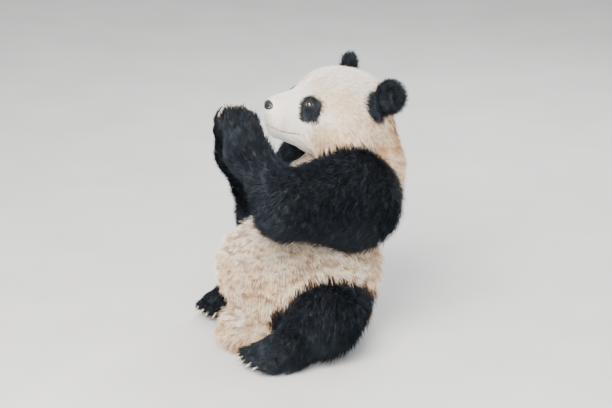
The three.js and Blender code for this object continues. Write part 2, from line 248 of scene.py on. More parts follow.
def paw_field(limb):
    radii = limb["radii"]
    sides = [taper(limb["wrist"], limb["palm"] + limb["half_row"] * share, radii["wrist"], radii["palm"])
             for share in (-0.6, 0.6)]
    toes = [taper(root, tip, radii["digit"] + 0.004, radii["digit"]) for root, tip in digits(limb)]
    return joined(paw_fillet, *sides, *toes)


def limb_field(limb):
    return joined(limb_fillet, upper_field(limb), lower_field(limb), paw_field(limb))


tail_field = taper(mm(0, 164, 74), mm(0, 200, 36), 0.038, 0.029)
print("limbs:", ", ".join(limbs))

# %% [markdown]
# ## Zones of the coat
#
# A panda's hair is under a centimetre long on its muzzle, and nearly four centimetres on its back and belly. Each
# zone below names the form it covers, how deep its coat stands over the skin, how long and wide its tufts are,
# how many stand on a square metre, and which way the hair lies. A point between two zones takes a share of each.

# %% Zones
def toward(direction):
    way = unit(np.asarray(direction, float))
    return lambda p: np.tile(way, (len(p), 1))


def away_from(point):
    return lambda p: unit(p - point)


def head_way(*direction):
    return toward(head_turn @ np.array(direction, float))


def zone(name, field, depth, length, width, crowd, lie):
    return dict(name=name, field=field, depth=depth / 1000, length=length / 1000, width=width / 1000,
                crowd=crowd, lie=lie)


def firmly(field):
    """A small zone of the head that holds its own against the larger ones round it."""
    return lambda p: firmness * placed(head_place, field)(p)


firmness, nose_rim_radius, lids_radius = 4, 0.029, 0.022
nose_at = mm(0, -212, -26)
eye_at, eye_radius = mm(56, -111, 13), 0.014
eyes_at = [eye_at, mirror(eye_at)]
zones = [
    zone("nose_rim", firmly(ball(nose_at, nose_rim_radius)), 2.0, 4, 0.8, 110e3, away_from(in_head(nose_at))),
    zone("muzzle", placed(head_place, muzzle), 3.0, 8, 1.05, 130e3, away_from(in_head(nose_at))),
    zone("skull", placed(head_place, cranium), 8.5, 17, 1.45, 90e3, away_from(in_head(mm(0, -190, -20)))),
    zone("cheeks", placed(head_place, cheeks), 11, 26, 1.7, 76e3, head_way(0, 0.7, -0.8)),
    zone("neck", neck_field, 15, 34, 2.1, 50e3, toward((0, 0.1, -1))),
    zone("back", joined(trunk_fillet, *trunk_eggs[3:]), 17, 38, 2.3, 44e3, toward((0, 0.1, -1))),
    zone("belly", joined(trunk_fillet, *trunk_eggs[:3]), 18, 38, 2.3, 44e3, toward((0, -0.05, -1))),
    zone("tail", tail_field, 10, 34, 2.4, 44e3, toward((0, 0.7, -1))),
]
for side_name, side in (("left", 1), ("right", -1)):
    eye_centre = mirror(eye_at, side)
    zones.append(zone(side_name + "_lids", firmly(ball(eye_centre, lids_radius)), 2.2, 5, 0.9, 130e3,
                      away_from(in_head(eye_centre))))
    ear_root = (np.array(ear_place(side)) @ np.append(mm(-side * 10, 20, -60), 1))[:3]
    zones.append(zone(side_name + "_ear", ear_field(side), 6, 20, 1.5, 110e3, away_from(ear_root)))
for limb in limbs.values():
    upper_name, lower_name, paw_name = limb["parts"]
    zones.append(zone(upper_name, upper_field(limb), 17, 36, 2.3, 44e3, toward(limb["bend"] - limb["root"])))
    zones.append(zone(lower_name, lower_field(limb), 15, 32, 2.1, 50e3, toward(limb["wrist"] - limb["bend"])))
    zones.append(zone(paw_name, paw_field(limb), 6.5, 14, 1.5, 95e3, toward(limb["aim"])))
zone_names = [z["name"] for z in zones]
zone_blur = 0.012  # how far one zone's hair runs into the next's


def zone_shares(p):
    """How much of each zone a point belongs to."""
    distance = np.stack([z["field"](p) for z in zones], 1)
    share = np.exp((distance.min(1, keepdims=True) - distance) / zone_blur)
    return share / share.sum(1, keepdims=True)


print("zones:", ", ".join(zone_names))

# %% [markdown]
# ## The skin's form
#
# The coat's tips make the solids' outline, so the skin runs the coat's depth inside it. On top of that come the
# things that hair doesn't hide: the lids and the slot between them, the mouth's line, and the pads of the paws.

# %% The lids
lid_thick, lid_half_width, lid_half_height = 0.0022, 0.0131, 0.0056
lid_fillet, slot_back, slot_edge = 0.012, 0.004, 0.002
near_by = 0.045  # lids and lips change the form only this close to them


def eye_axes(side):
    """Rows: along the lids to the outer corner, up, and out of the head."""
    out = unit(np.array([0.64, -0.74, 0.20]))
    along = unit(np.array([0.62, 0.66, 0.28]))
    up = unit(np.cross(out, along))
    along = np.cross(up, out)
    return mirror(np.stack([along, up, out]), side)


def with_lids(q, base):
    """Lids stand over the eyeball, with an almond-shaped slot between them."""
    for side, eye in zip((1, -1), eyes_at):
        near = np.flatnonzero(np.abs(q - eye).max(1) < near_by)
        x, y, z = ((q[near] - eye) @ eye_axes(side).T).T
        lids = blend(base[near], np.sqrt(x * x + y * y + z * z) - eye_radius - lid_thick, lid_fillet)
        half = lid_half_height * (1 - (x / lid_half_width) ** 2)
        slot = np.maximum(np.abs(y) - half, slot_back - z)
        base[near] = -blend(-lids, slot, slot_edge)
    return base


print("lids: slot", round(2000 * lid_half_width, 1), "by", round(2000 * lid_half_height, 1), "mm")

# %% The mouth's line and the pads
mouth_front, mouth_back, mouth_level, mouth_sag = -0.206, -0.112, -0.083, 0.006
parting_depth, parting_width, near_skull = 0.0035, 0.0022, 0.008
cleft_depth, cleft_width, cleft_top, cleft_front = 0.0022, 0.0018, mouth_level + 0.034, -0.19


def mouth_gap(q):
    """How far a point is above the line between the lips, and a share that is 1 along the mouth."""
    s = np.clip((q[:, 1] - mouth_front) / (mouth_back - mouth_front), -0.3, 1.2)
    line = mouth_level - mouth_sag * np.sin(np.clip(s, 0, 1) * np.pi)
    return q[:, 2] - line, np.clip((1.05 - s) / 0.1, 0, 1)


def with_mouth(q, base):
    """A groove parts the lips, and another runs up from it to the nose."""
    near = np.flatnonzero((np.abs(q[:, 2] - mouth_level) < near_by) & (q[:, 1] < mouth_back + 0.02))
    near = near[skull(q[near]) < near_skull]
    gap, along = mouth_gap(q[near])
    x, y, z = q[near].T
    parting = parting_depth * np.exp(-(gap / parting_width) ** 2) * along
    cleft = cleft_depth * np.exp(-(x / cleft_width) ** 2) * np.clip((cleft_top - z) / 0.01, 0, 1)
    base[near] += parting + cleft * (y < cleft_front) * (gap > 0)
    return base


palm_pad_radius, digit_pad_radius, pad_fillet = 0.015, 0.0105, 0.004


def pads(limb):
    """The bare pads of a paw: one broad one across the palm or sole and one under each digit."""
    sole, aim = limb["sole"], limb["aim"]
    sole = unit(sole - (sole @ aim) * aim)
    broad, reach = limb["palm"] + sole * (limb["radii"]["palm"] - 0.012), limb["half_row"] * 0.7
    yield taper(broad - reach, broad + reach, palm_pad_radius, palm_pad_radius)
    for root, tip in digits(limb):
        yield ball(root + (tip - root) * 0.72 + sole * (limb["radii"]["digit"] - 0.010), digit_pad_radius)


all_pads = [pad for limb in limbs.values() for pad in pads(limb)]
pad_field = joined(pad_fillet, *all_pads)
print("pads:", len(all_pads))

# %% The whole skin
floor_level = 0.0015  # skin and coat stay this far above the floor
body_fillet, root_fillet, ear_fillet, tail_fillet = 0.070, 0.040, 0.014, 0.020
free_at, free_loss = 0.25, 0.034  # this far from its root, a limb's fillet has narrowed by this much
trunk_and_neck = joined(body_fillet, trunk_field, neck_field)
limb_balls = [ball(limb[spot], limb["radii"][spot]) for limb in limbs.values() for spot in ("root", "crest")
              if spot in limb]
body = joined(body_fillet, joined(root_fillet, trunk_and_neck, *limb_balls), skull_field)


def form_field(p):
    """The outline, out to the tips of the coat. A limb melts into the trunk only near its root."""
    found = body(p)
    for side in (1, -1):
        found = blend(found, ear_field(side)(p), ear_fillet)
    found = blend(found, tail_field(p), tail_fillet)
    for limb in limbs.values():
        out = np.clip(np.sqrt(((p - limb["root"]) ** 2).sum(1)) / free_at, 0, 1)
        found = blend(found, limb_field(limb)(p), root_fillet - free_loss * out)
    return found


fold_height, fold_spacing = 0.0030, 0.052


def skin_field(p):
    """The skin, the coat's depth inside the outline and just clear of the floor, with soft folds on the belly."""
    share = zone_shares(p)
    depth = share @ np.array([z["depth"] for z in zones])
    sway = 0.016 * np.sin(p[:, 0] * 17 + 1.0) + 0.012 * np.sin(p[:, 1] * 23 - 0.6)
    fold = np.sin((p[:, 2] + sway) * 2 * np.pi / fold_spacing)
    depth = depth + fold_height * (1 + fold) * share[:, zone_names.index("belly")]
    q = to_head(p)
    found = with_mouth(q, with_lids(q, form_field(p) + depth))
    return np.maximum(blend(found, pad_field(p), pad_fillet), floor_level - p[:, 2])


print("skin field: folds", round(fold_height * 2000, 1), "mm high,", len(limb_balls), "balls at the limbs' roots")

# %% [markdown]
# ## From a field to a mesh
#
# Blender could do this with a voxel remesh of joined eggs, which loses the small forms, or with metaballs. Here
# a net is laid through the cells that the surface crosses, evened out, and drawn back onto the exact form.
# Only cells near the surface are looked at, so that it takes seconds.

# %% Surface net
def sample_near(field, axes, stride):
    """The field on a grid: exact near the surface, and elsewhere the value of a nearby coarse corner."""
    count = [len(axis) for axis in axes]
    coarse_axes = [axis[::stride] for axis in axes]
    coarse_grid = np.stack(np.meshgrid(*coarse_axes, indexing="ij"), -1)
    coarse = field(coarse_grid.reshape(-1, 3)).reshape(coarse_grid.shape[:3])
    nearest = [np.minimum((np.arange(n) + stride // 2) // stride, len(c) - 1)
               for n, c in zip(count, coarse_axes)]
    value = coarse[np.ix_(*nearest)]
    cell = axes[0][1] - axes[0][0]
    near = np.argwhere(np.abs(value) < cell * (stride + 1))
    points = np.stack([axes[a][near[:, a]] for a in range(3)], 1)
    value[tuple(near.T)] = field(points)
    return value


def surface_net(field, low, high, cell, stride=4):
    """Corners and quads of the field's surface, with one corner to each cell that it crosses."""
    axes = [np.arange(low[a], high[a] + cell, cell) for a in range(3)]
    value = sample_near(field, axes, stride)
    inside = value < 0
    size = np.array(value.shape)
    flat = np.array([size[1] * size[2], size[2], 1])
    total = np.zeros((value.size, 4))
    rings = []
    for axis in range(3):
        ahead = np.roll(inside, -1, axis)
        edge = np.argwhere(inside != ahead)
        edge = edge[edge[:, axis] < size[axis] - 1]
        step = np.eye(3, dtype=int)[axis]
        first, second = value[tuple(edge.T)], value[tuple((edge + step).T)]
        point = np.stack([axes[a][edge[:, a]] for a in range(3)], 1)
        point[:, axis] += cell * first / (first - second)
        u, v = np.eye(3, dtype=int)[(axis + 1) % 3], np.eye(3, dtype=int)[(axis + 2) % 3]
        ring = np.stack([(edge - a * u - b * v) @ flat for a, b in ((1, 1), (0, 1), (0, 0), (1, 0))], 1)
        for column in ring.T:
            np.add.at(total, column, np.column_stack([point, np.ones(len(point))]))
        rings.append(np.where((first < 0)[:, None], ring, ring[:, ::-1]))
    quads = np.concatenate(rings)
    used, quads = np.unique(quads, return_inverse=True)
    corners = total[used, :3] / total[used, 3:]
    return corners, quads.reshape(-1, 4)


def neighbour_mean(p, edges):
    """The mean of each corner's neighbours."""
    a, b = np.concatenate([edges, edges[:, ::-1]]).T
    number = np.maximum(np.bincount(a, minlength=len(p)), 1)
    return np.stack([np.bincount(a, p[b, k], len(p)) / number for k in range(p.shape[1])], 1)


def evened(p, edges, share=0.5):
    """Corners moved a share of the way to the mean of their neighbours."""
    return p + share * (neighbour_mean(p, edges) - p)


def settle(p, field, most, step=0.0004):
    """Draws points onto the field's surface, each by no more than most."""
    here = field(p)
    slope = np.stack([(field(p + step * axis) - here) / step for axis in np.eye(3)], 1)
    steep = np.maximum((slope * slope).sum(1), 0.3)
    return p - slope * (np.clip(here, -most, most) / steep)[:, None]


def edges_of(quads):
    edges = np.concatenate([quads, np.roll(quads, -1, 1)], 0).reshape(2, -1).T
    return np.unique(np.sort(edges, 1), axis=0)


# %% Lay the net over the body
skin_cell = 0.0080
margin = 3 * skin_cell
corners, quads = surface_net(skin_field, np.array(cad_box[0]) - margin, np.array(cad_box[1]) + margin, skin_cell)
corners = settle(evened(corners, edges_of(quads)), skin_field, skin_cell / 2)
print("net:", len(corners), "corners,", len(quads), "quads")

# %% [markdown]
# ## A finer net where the animal looks back at you
#
# Eight millimetres between corners is enough for flanks and far too much for eyelids. The quads of the face, the
# ears and the pads are halved, those round the lids and the mouth again, and the lids' once more. Each time the new
# corners are drawn onto the form, so the detail comes from the field and not from the tool that cut the quads.

# %% Refine
def stand(name, data):
    """An object at the origin for a mesh, a lamp or a camera."""
    thing = bpy.data.objects.new(name, data)
    bpy.context.scene.collection.objects.link(thing)
    return thing


def near_lids(p, reach):
    q = to_head(p)
    return np.minimum(*[np.abs(q - eye).max(1) for eye in eyes_at]) < reach


def near_mouth(p, reach):
    q = to_head(p)
    gap, along = mouth_gap(q)
    return (np.abs(gap) < reach) & (along > 0.1) & (q[:, 1] < mouth_back + 0.03) & (skull(q) < near_skull)


def face_ears_and_pads(p):
    face = (skull_field(p) < 0.004) & (to_head(p)[:, 1] < 0.02)
    return face | (pad_field(p) < 0.003) | (np.minimum(ear_field(1)(p), ear_field(-1)(p)) < 0.004)


stages = [face_ears_and_pads, lambda p: near_lids(p, 0.034) | near_mouth(p, 0.012), lambda p: near_lids(p, 0.021)]
bm = bmesh.new()
bm_corners = [bm.verts.new(p) for p in corners]
bm.verts.index_update()
for quad in quads:
    bm.faces.new([bm_corners[i] for i in quad])
for stage in stages:
    points = np.array([v.co for v in bm.verts])
    inside = stage(points)
    bm.verts.ensure_lookup_table()
    chosen = [e for e in bm.edges if inside[e.verts[0].index] and inside[e.verts[1].index]]
    bm.verts.index_update()
    bmesh.ops.subdivide_edges(bm, edges=chosen, cuts=1, use_grid_fill=True)
    bm.verts.index_update()
    points = np.array([v.co for v in bm.verts])
    edges = np.array([[v.index for v in e.verts] for e in bm.edges])
    touched = np.flatnonzero(stage(points))
    for _ in range(2):
        points[touched] = evened(points, edges, 0.35)[touched]
        points[touched] = settle(points[touched], skin_field, 0.003)
    for corner, point in zip(bm.verts, points):
        corner.co = point
    print("stage:", len(touched), "corners moved,", len(bm.verts), "in all")
bmesh.ops.triangulate(bm, faces=[f for f in bm.faces if len(f.verts) > 4])
skin_mesh = bpy.data.meshes.new("skin")
bm.to_mesh(skin_mesh)
bm.free()
skin_mesh.polygons.foreach_set("use_smooth", np.ones(len(skin_mesh.polygons), bool))
skin = stand("skin", skin_mesh)
print("skin:", len(skin_mesh.vertices), "corners,", len(skin_mesh.polygons), "faces")

# %% [markdown]
# ## Markings
#
# Skin and coat take their colours from the same few numbers on the skin's corners: how deep a point is inside
# the black parts, how warm the cream is there, and where no hair grows. The black parts are forms too, a little
# larger than the limbs, so their edges follow the body. Each tuft takes the numbers of the spot it grows from.

# %% Where the coat is black
marking_reach = 0.012  # a marking goes from full cream to full black over twice this
black_past = dict(arm=0.016, leg=0.008, ear=0.008)  # how far black runs on past each form


def yoke(p, top=0.527, bottom=0.415, tilt_top=0.12, tilt_bottom=0.25):
    """Above zero in the band round shoulders and chest, between two planes that slope from back to front."""
    return np.minimum(top - tilt_top * p[:, 1] - p[:, 2], p[:, 2] - bottom + tilt_bottom * p[:, 1])


def black_depth(p):
    """How far a point is inside the black parts, negative outside."""
    q = to_head(p)
    found = yoke(p)
    found = np.where(skull_field(p) < found, -0.02, found)
    for limb_name, limb in limbs.items():
        found = np.maximum(found, black_past[limb_name.split("_")[1]] - limb_field(limb)(p))
    for side in (1, -1):
        # Black runs on over the front of the thigh into its crease with the belly: partly the leg's black, partly
        # painted shade of the crease.
        groin_black_and_shade = taper(mirror(mm(196, -104, 124), side), mirror(mm(266, -122, 84), side), 0.058, 0.05)(p)
        ear_base = ball(mirror(mm(130, 74, 70), side), 0.050)(q)
        patch = taper(mirror(mm(61, -119, 12), side), mirror(mm(74, -126, -19), side), 0.028, 0.023)(q)
        outer = taper(mirror(mm(73, -107, 15), side), mirror(mm(87, -112, -12), side), 0.024, 0.021)(q)
        for mark in (groin_black_and_shade, ear_field(side)(p) - black_past["ear"], ear_base, blend(patch, outer, 0.01)):
            found = np.maximum(found, -mark)
    return found


print("yoke: at the ribs", yoke(mm(0, 0, 471)[None]).round(3)[0], "m from its nearest edge")


# %% Numbers on the skin's corners
def vectors_of(mesh, what):
    """A vector for each corner of a mesh, such as its place."""
    values = np.empty(len(mesh.vertices) * 3, np.float32)
    mesh.vertices.foreach_get(what, values)
    return values.reshape(-1, 3).astype(float)


def put(mesh, name, values):
    """Writes a number or a vector to each corner of a mesh."""
    values = np.ascontiguousarray(values, np.float32)
    kind, field = ("FLOAT", "value") if values.ndim == 1 else ("FLOAT_VECTOR", "vector")
    mesh.attributes.new(name, kind, "POINT").data.foreach_set(field, values.ravel())


points, normals = vectors_of(skin_mesh, "co"), vectors_of(skin_mesh, "normal")
edge_corners = np.empty(len(skin_mesh.edges) * 2, np.int32)
skin_mesh.edges.foreach_get("vertices", edge_corners)
skin_edges = edge_corners.reshape(-1, 2)
shares = zone_shares(points)


def shared(key):
    """A number of the zones at each corner of the skin, by its share of each zone."""
    return shares @ np.array([z[key] for z in zones])


# The cheeks' warmth is partly their own tan, partly painted shade that makes them darker than the crown.
warmth = dict(nose_rim=0.0, muzzle=0.05, left_lids=0.1, right_lids=0.1, skull=0.46, cheeks=0.6, neck=1.1,
              back=0.5, belly=0.62, tail=0.5)
warm = shares @ np.array([warmth.get(name, 0.7) for name in zone_names])
warm = warm + 0.55 * np.clip(1 - points[:, 2] / 0.16, 0, 1)  # warmer and darker towards the ground
warm = warm * (1 - 0.6 * np.clip(normals[:, 2] * 1.4 - 0.3, 0, 1))  # painted top light: what faces up is paler
marking = np.clip(black_depth(points) / marking_reach, -1, 1)
rusty_parts = dict(neck=0.5, back=1.0, belly=1.0, tail=1.0)
for limb_name, limb in limbs.items():
    rusty_parts.update({part: 0.3 if "arm" in limb_name else 1.0 for part in limb["parts"]})
rust = shares @ np.array([rusty_parts.get(name, 0.0) for name in zone_names])

# %% Where no hair grows: the lids' rims, the lips, the pads and what sits on the floor
skin_q = to_head(points)
bare = np.zeros(len(points))
for side, eye in zip((1, -1), eyes_at):
    x, y, z = ((skin_q - eye) @ eye_axes(side).T).T
    slot = np.hypot(x / (lid_half_width + 0.0022), y / (lid_half_height + 0.0016))
    bare = np.maximum(bare, np.clip((1.1 - slot) / 0.2, 0, 1) * (z > 0))
lip_gap, lip_along = mouth_gap(skin_q)
lips = np.clip(1.6 - np.abs(lip_gap) / parting_width, 0, 1) * (lip_along > 0.1) * (skin_q[:, 1] < mouth_back)
lips = lips * (np.abs(skull(skin_q)) < 0.016)
bare = np.maximum(bare, lips)
bare = np.maximum(bare, np.clip((0.001 - pad_field(points)) / 0.002, 0, 1))
bare = np.maximum(bare, np.clip(-ball(nose_at + mm(0, 6, 0), 0.019)(skin_q) / 0.002, 0, 1))
under = np.clip(-normals[:, 2] - 0.4, 0, 1) * np.clip(1 - points[:, 2] / 0.012, 0, 1)
covered = (1 - bare) * (under < 0.05)
print("bare corners:", int((bare > 0.5).sum()), " black corners:", int((marking > 0).sum()))

# %% The lie of the coat
weight_of_hair, long_hair = 0.8, 0.044  # hair as long as this hangs, shorter hair lies more along the body
lie = sum(shares[:, i:i + 1] * z["lie"](points) for i, z in enumerate(zones))
lie[:, 2] -= weight_of_hair * shared("length") / long_hair
for _ in range(6):
    lie = 0.5 * lie + 0.5 * neighbour_mean(lie, skin_edges)
lie = unit(lie - (lie * normals).sum(1, keepdims=True) * normals)

of_limbs = [part for limb in limbs.values() for part in limb["parts"][:2]]
hanging = shares @ np.array([float(name in of_limbs) for name in zone_names]) * np.clip(-normals[:, 2], 0, 1)
hair_length = shared("length") * (1 + 0.45 * hanging)  # the fringe under arms and thighs
for name, values in (("marking", marking), ("warm", warm), ("rust", rust), ("bare", bare), ("lie", lie),
                     ("hair_length", hair_length), ("hair_width", shared("width")),
                     ("hair_depth", shared("depth")), ("crowd", shared("crowd") * covered)):
    put(skin_mesh, name, values)

# %% [markdown]
# ## An unwrap of the skin
#
# Baked colours need a map. The skin is unwrapped by its own shape, and each tuft later takes a tiny patch of
# that map at the place of its root, so that skin and coat share one sheet.

# %% Unwrap
bpy.context.view_layer.objects.active = skin
skin.select_set(True)
skin_mesh.uv_layers.new(name="OFBake")
bpy.ops.object.mode_set(mode="EDIT")
bpy.ops.mesh.select_all(action="SELECT")
bpy.ops.uv.smart_project(angle_limit=math.radians(66), island_margin=0.002)
bpy.ops.object.mode_set(mode="OBJECT")
print("unwrapped:", len(skin_mesh.uv_layers["OFBake"].data), "face corners")

# %% [markdown]
# ## Tufts
#
# Hair curves or particles would be quickest, but only real mesh leaves Blender with the model. So one
# Geometry Nodes tree grows the coat: it scatters roots over the skin, stands a short line on each, bends all
# the lines along the lie of the coat and towards the middle of their clump, and wraps a thin three-sided
# sleeve round each line that narrows to its tip. The same tree serves every zone with other numbers.

# %% Helpers to write a node tree
def join(tree, value, socket):
    """Links a socket to another one's value, or sets it to a constant."""
    if isinstance(value, bpy.types.NodeSocket):
        tree.links.new(value, socket)
    else:
        socket.default_value = value


def add(tree, kind, inputs=(), **settings):
    """A node with its settings made and its inputs linked or set, by name or by number."""
    node = tree.nodes.new(kind)
    for key, value in settings.items():
        setattr(node, key, value)
    for key, value in dict(inputs).items():
        join(tree, value, node.inputs[key])
    return node


def math_node(tree, operation, *values):
    return add(tree, "ShaderNodeMath", dict(enumerate(values)), operation=operation).outputs[0]


def vector_node(tree, operation, *values):
    return add(tree, "ShaderNodeVectorMath", dict(enumerate(values)), operation=operation).outputs["Vector"]


def scaled(tree, vector, factor):
    return add(tree, "ShaderNodeVectorMath", {0: vector, "Scale": factor}, operation="SCALE").outputs["Vector"]


def summed(tree, *vectors):
    found = vectors[0]
    for vector in vectors[1:]:
        found = vector_node(tree, "ADD", found, vector)
    return found


def attribute(tree, name, kind="FLOAT"):
    return add(tree, "GeometryNodeInputNamedAttribute", {"Name": name}, data_type=kind).outputs["Attribute"]


def stored(tree, geometry, name, value, kind="FLOAT", domain="POINT"):
    node = add(tree, "GeometryNodeStoreNamedAttribute", {"Geometry": geometry, "Name": name, "Value": value},
               data_type=kind, domain=domain)
    return node.outputs["Geometry"]


# %% The tree that grows a coat
root_sunk, tip_radius, patch_size = 0.001, 0.00006, 0.003
tree_inputs = (("Skin", "Geometry", None), ("Joints", "Int", 3), ("Seed", "Int", 1), ("Clump Size", "Float", 0.02),
               ("Clump Pull", "Float", 0.5), ("Stray", "Float", 0.2), ("Material", "Material", None))


def coat_tree():
    tree = bpy.data.node_groups.new("grow_coat", "GeometryNodeTree")
    tree.interface.new_socket("Geometry", in_out="OUTPUT", socket_type="NodeSocketGeometry")
    for name, kind, value in tree_inputs:
        socket = tree.interface.new_socket(name, in_out="INPUT", socket_type="NodeSocket" + kind)
        if value is not None:
            socket.default_value = value
    given = tree.nodes.new("NodeGroupInput").outputs

    def vector(name):
        return attribute(tree, name, "FLOAT_VECTOR")

    # Roots, each with its place, its normal and its own dice.
    density = math_node(tree, "MULTIPLY", attribute(tree, "crowd"), attribute(tree, "here"))
    roots = add(tree, "GeometryNodeDistributePointsOnFaces",
                {"Mesh": given["Skin"], "Density": density, "Seed": given["Seed"]}, distribute_method="RANDOM")
    place = add(tree, "GeometryNodeInputPosition").outputs[0]
    dice = add(tree, "FunctionNodeRandomValue", {0: (-1, -1, -1), 1: (1, 1, 1), "Seed": given["Seed"]},
               data_type="FLOAT_VECTOR").outputs[0]
    at_roots = roots.outputs["Points"]
    for name, value in (("root_at", place), ("root_normal", roots.outputs["Normal"]), ("root_uv", vector("OFBake")),
                        ("dice", dice)):
        at_roots = stored(tree, at_roots, name, value, "FLOAT_VECTOR")

    # A line on each root.
    line = add(tree, "GeometryNodeCurvePrimitiveLine", {"End": (0, 0, 1)}).outputs[0]
    line = add(tree, "GeometryNodeResampleCurve", {"Curve": line, "Count": given["Joints"]}).outputs[0]
    lines = add(tree, "GeometryNodeInstanceOnPoints", {"Points": at_roots, "Instance": line}).outputs[0]
    lines = add(tree, "GeometryNodeRealizeInstances", {0: lines}).outputs[0]
    along = add(tree, "GeometryNodeSplineParameter").outputs["Factor"]
    lines = stored(tree, lines, "along", along)

    # Its bend: up out of the skin, then along the body, and towards the middle of its clump.
    root_at = vector("root_at")
    own = add(tree, "ShaderNodeSeparateXYZ", {0: vector("dice")}).outputs
    longer = math_node(tree, "MULTIPLY_ADD", own[0], 0.2, 0.95)
    length = math_node(tree, "MULTIPLY", attribute(tree, "hair_length"), longer)
    stray = scaled(tree, vector("dice"), given["Stray"])
    way = vector_node(tree, "NORMALIZE", summed(tree, vector("lie"), stray))
    run = scaled(tree, way, math_node(tree, "MULTIPLY", along, length))
    back = math_node(tree, "SUBTRACT", 1.0, along)
    rise = math_node(tree, "SUBTRACT", 1.0, math_node(tree, "MULTIPLY", back, back))
    higher = math_node(tree, "MULTIPLY_ADD", own[1], 0.25, 0.8)
    height = math_node(tree, "MULTIPLY", attribute(tree, "hair_depth"), higher)
    sunk = math_node(tree, "MULTIPLY", back, root_sunk)
    rise = math_node(tree, "SUBTRACT", math_node(tree, "MULTIPLY", rise, height), sunk)
    clumps_per_metre = math_node(tree, "DIVIDE", 1.0, given["Clump Size"])
    clump = add(tree, "ShaderNodeTexVoronoi", {"Vector": root_at, "Scale": clumps_per_metre})
    to_middle = vector_node(tree, "SUBTRACT", clump.outputs["Position"], root_at)
    pull = math_node(tree, "MULTIPLY", math_node(tree, "MULTIPLY", along, along), given["Clump Pull"])
    bent = summed(tree, root_at, run, scaled(tree, vector("root_normal"), rise), scaled(tree, to_middle, pull))
    spot = add(tree, "ShaderNodeSeparateXYZ", {0: bent}).outputs
    above = math_node(tree, "MAXIMUM", spot[2], floor_level)
    bent = add(tree, "ShaderNodeCombineXYZ", {0: spot[0], 1: spot[1], 2: above}).outputs[0]
    lines = add(tree, "GeometryNodeSetPosition", {"Geometry": lines, "Position": bent}).outputs[0]

    # A sleeve that is widest a little above the root.
    slim = math_node(tree, "POWER", back, 0.8)
    wide = math_node(tree, "MULTIPLY_ADD", along, 0.5, 0.75)
    radius = math_node(tree, "MULTIPLY", math_node(tree, "MULTIPLY", slim, wide), attribute(tree, "hair_width"))
    radius = math_node(tree, "MULTIPLY_ADD", radius, 0.5, tip_radius)
    ring = add(tree, "GeometryNodeCurvePrimitiveCircle", {"Resolution": 3, "Radius": 1.0}).outputs[0]
    ring = stored(tree, ring, "around", add(tree, "GeometryNodeSplineParameter").outputs["Factor"])
    sleeves = add(tree, "GeometryNodeCurveToMesh",
                  {"Curve": lines, "Profile Curve": ring, "Scale": radius, "Fill Caps": True}).outputs[0]

    # Its patch of the baked sheet, at its root's place.
    patch = add(tree, "ShaderNodeCombineXYZ", {0: attribute(tree, "along"), 1: attribute(tree, "around")}).outputs[0]
    patch = scaled(tree, vector_node(tree, "SUBTRACT", patch, (0.5, 0.5, 0.0)), patch_size)
    sleeves = stored(tree, sleeves, "OFBake", summed(tree, vector("root_uv"), patch), "FLOAT2", "CORNER")
    sleeves = add(tree, "GeometryNodeSetShadeSmooth", {0: sleeves}).outputs[0]
    sleeves = add(tree, "GeometryNodeRealizeInstances", {0: sleeves}).outputs[0]
    sleeves = add(tree, "GeometryNodeSetMaterial", {"Geometry": sleeves, "Material": given["Material"]}).outputs[0]
    tree.links.new(sleeves, tree.nodes.new("NodeGroupOutput").inputs[0])
    return tree


coat_maker = coat_tree()
print("coat tree:", len(coat_maker.nodes), "nodes")

# %% [markdown]
# ## What hair, hide, horn and eye look like
#
# Panda hair is dull: a broad soft shine, cream that turns to straw and rust where it is rubbed or dirty, and a
# black with a cold sheen that goes brown at its edges. Some of it is painted light: the black's lighter blue-grey
# patches are partly painted sheen, the cream's darker patches are partly painted shade between clumps, and what
# faces up is paler as painted top light. All of it comes from the numbers on the corners and from noise in the
# object's own space, so it can be baked.

# %% Colours
def linear(c):
    """A screen's number from 0 to 255 as the renderer's number from 0 to 1."""
    return ((c / 255 + 0.055) / 1.055) ** 2.4 if c > 10 else c / 255 / 12.92


def rgb(red, green, blue):
    """A colour given as a screen shows it."""
    return linear(red), linear(green), linear(blue), 1.0


white, black = rgb(255, 255, 255), rgb(0, 0, 0)


def ramp(tree, factor, *stops):
    """A colour that runs through the stops, each a share and a colour."""
    node = add(tree, "ShaderNodeValToRGB", {0: factor})
    band = node.color_ramp.elements
    while len(band) < len(stops):
        band.new(0.5)
    for element, (at, colour) in zip(band, stops):
        element.position, element.color = at, colour
    return node.outputs["Color"]


def mixed(tree, factor, first, second, how="MIX"):
    node = add(tree, "ShaderNodeMix", data_type="RGBA", blend_type=how)
    for name, value in (("Factor_Float", factor), ("A_Color", first), ("B_Color", second)):
        join(tree, value, next(socket for socket in node.inputs if socket.identifier == name))
    return next(socket for socket in node.outputs if socket.identifier == "Result_Color")


def own_number(tree, name, output="Fac"):
    return add(tree, "ShaderNodeAttribute", attribute_type="GEOMETRY", attribute_name=name).outputs[output]


def noise(tree, scale, detail=3.0, stretch=(1, 1, 1)):
    at = add(tree, "ShaderNodeTexCoord").outputs["Object"]
    at = vector_node(tree, "MULTIPLY", at, stretch)
    return add(tree, "ShaderNodeTexNoise", {"Vector": at, "Scale": scale, "Detail": detail}).outputs["Fac"]


def new_material(name, **constants):
    material = bpy.data.materials.new(name)
    material.use_nodes = True
    for key, value in constants.items():
        material.node_tree.nodes["Principled BSDF"].inputs[key.replace("_", " ")].default_value = value
    return material, material.node_tree


def finish(tree, colour, height=None, invert=False, **bump):
    """Gives a material's shader a colour, and small bumps from a height."""
    shader = tree.nodes["Principled BSDF"]
    join(tree, colour, shader.inputs["Base Color"])
    if height is not None:
        join(tree, add(tree, "ShaderNodeBump", {"Height": height, **bump}, invert=invert).outputs[0],
             shader.inputs["Normal"])


